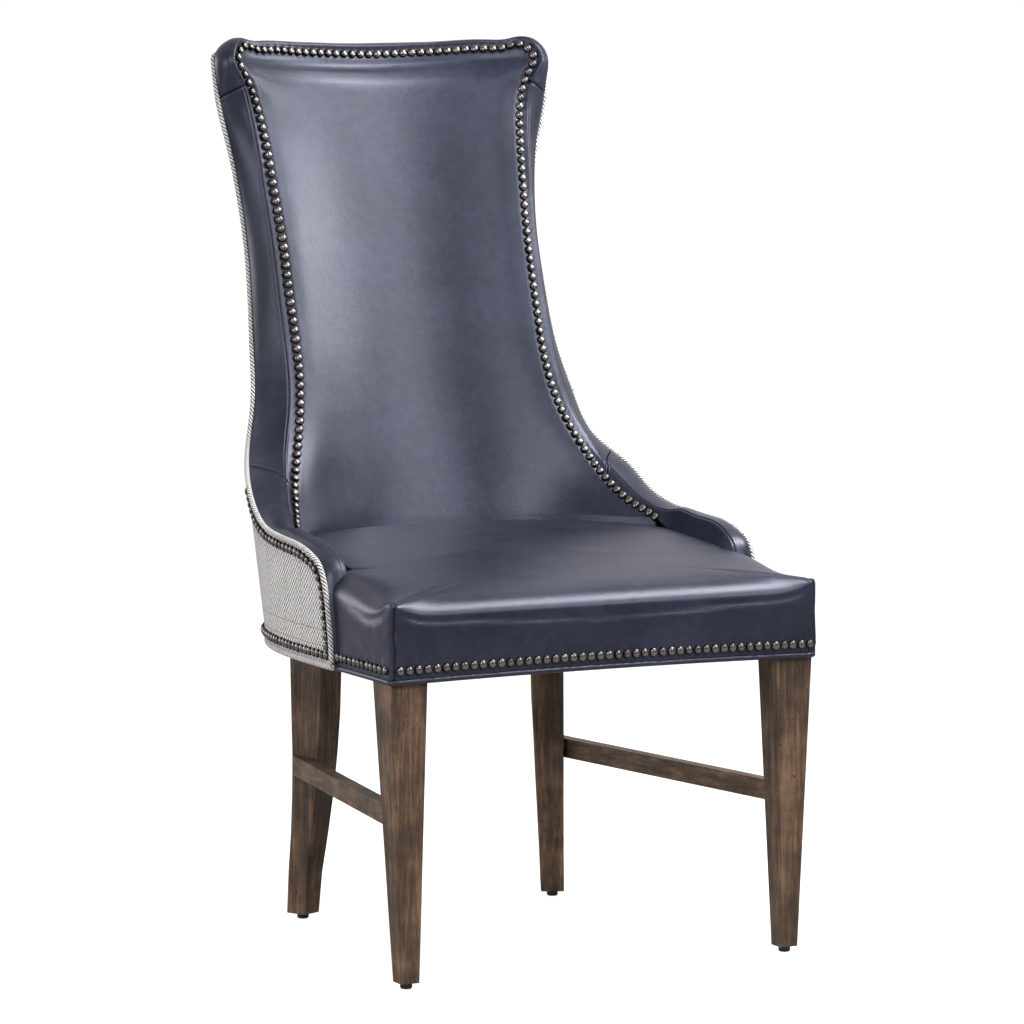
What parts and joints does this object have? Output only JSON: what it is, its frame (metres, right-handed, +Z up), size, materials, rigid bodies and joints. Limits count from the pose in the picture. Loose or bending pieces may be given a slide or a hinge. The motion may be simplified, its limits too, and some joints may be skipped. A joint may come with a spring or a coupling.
{
  "type": "side chair",
  "caption": "Upholstered leather dining chair with a raked hollow back sweeping down into low arms, tweed outside panels, nailhead trim, tapered wooden legs and side stretchers",
  "frame": {"origin": "on the floor, at the centre of the chair's footprint box", "axes": "+Z up, the chair faces -Y, +X to the right of a viewer who faces the chair's front"},
  "size_m": [0.5704, 0.6904, 1.0644],
  "materials": {
    "leather": "navy-grey semi-gloss leather with fine grain",
    "tweed": "light grey woven tweed with dark flecks",
    "nail_heads": "antiqued bronze-pewter domed nail heads",
    "leg_wood": "weathered grey-brown stained wood, satin",
    "frame_wood": "plain unfinished wood and plywood",
    "padding": "upholstery foam and wadding",
    "webbing": "woven seat webbing",
    "dust_cloth": "thin black non-woven cloth",
    "glide": "dark moulded glide",
    "bolt_steel": "zinc-plated steel"
  },
  "bodies": {
    "root": {"arm_cover_left": "leather", "arm_cover_right": "leather", "arm_nails_left": "nail_heads", "arm_nails_right": "nail_heads", "arm_pad_left": "padding", "arm_pad_right": "padding", "arm_panel_left": "frame_wood", "arm_panel_right": "frame_wood", "back_foam": "padding", "back_stile_left": "frame_wood", "back_stile_right": "frame_wood", "back_welt": "tweed", "base_nails": "nail_heads", "base_welt": "tweed", "crest_border": "leather", "crest_pad": "padding", "crest_rail": "frame_wood", "dust_cover": "dust_cloth", "front_block_left": "frame_wood", "front_block_right": "frame_wood", "front_cross_strap": "webbing", "front_glide_left": "glide", "front_glide_right": "glide", "front_leg_bolt_left": "bolt_steel", "front_leg_bolt_right": "bolt_steel", "front_leg_left": "leg_wood", "front_leg_right": "leg_wood", "front_rail": "frame_wood", "inside_back_cover": "leather", "inside_back_nails": "nail_heads", "long_strap_left": "webbing", "long_strap_right": "webbing", "lumbar_rail": "frame_wood", "outside_arm_left": "tweed", "outside_arm_right": "tweed", "outside_back": "tweed", "rear_block_left": "frame_wood", "rear_block_right": "frame_wood", "rear_cross_strap": "webbing", "rear_glide_left": "glide", "rear_glide_right": "glide", "rear_leg_bolt_left": "bolt_steel", "rear_leg_bolt_right": "bolt_steel", "rear_leg_left": "leg_wood", "rear_leg_right": "leg_wood", "rear_rail": "frame_wood", "seat_cover": "leather", "seat_foam": "padding", "seat_nails": "nail_heads", "seat_welt": "leather", "side_border_left": "leather", "side_border_right": "leather", "side_pad_left": "padding", "side_pad_right": "padding", "side_rail_left": "frame_wood", "side_rail_right": "frame_wood", "side_stretcher_left": "leg_wood", "side_stretcher_right": "leg_wood"}
  },
  "joints": []
}
